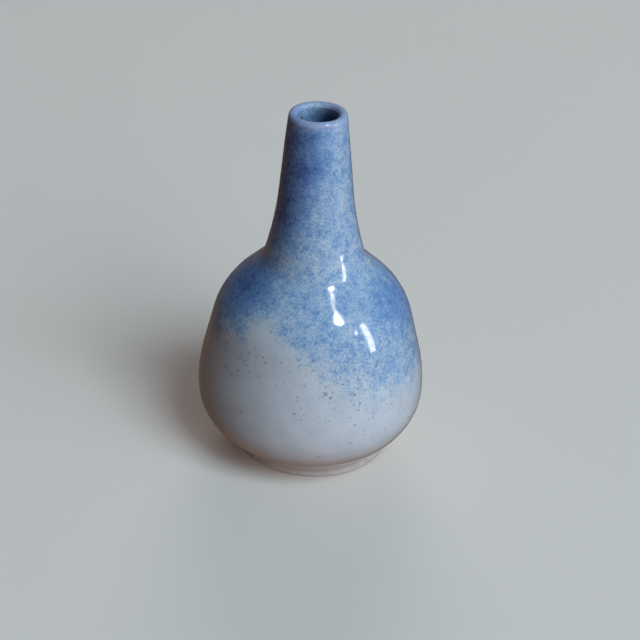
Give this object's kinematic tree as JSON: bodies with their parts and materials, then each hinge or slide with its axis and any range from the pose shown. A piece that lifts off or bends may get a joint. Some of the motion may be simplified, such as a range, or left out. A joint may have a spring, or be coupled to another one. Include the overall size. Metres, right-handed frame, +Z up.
{
  "type": "ceramic bud vase",
  "caption": "Small thrown ceramic bud vase with a round belly, a narrow neck for one stem, a rounded lip and blue glaze sprayed over a pale one.",
  "frame": {"origin": "centre of the bounding box's bottom face, in the plane that the foot stands on", "axes": "+Z up, from the foot to the mouth; the neck leans slightly towards -X; -Y is the front"},
  "size_m": [0.0784, 0.0784, 0.1252],
  "materials": {
    "bare_stoneware": "matt, fired and unglazed",
    "pale_glaze": "gloss, pale blue-grey with fine dark specks",
    "blue_glaze": "gloss, mottled cobalt blue",
    "liner_glaze": "gloss, blue-grey"
  },
  "bodies": {
    "root": {"foot_ring": "bare_stoneware", "belly": "bare_stoneware", "neck": "bare_stoneware", "base_glaze": "pale_glaze", "blue_glaze": "blue_glaze", "liner_glaze": "liner_glaze"}
  },
  "joints": []
}
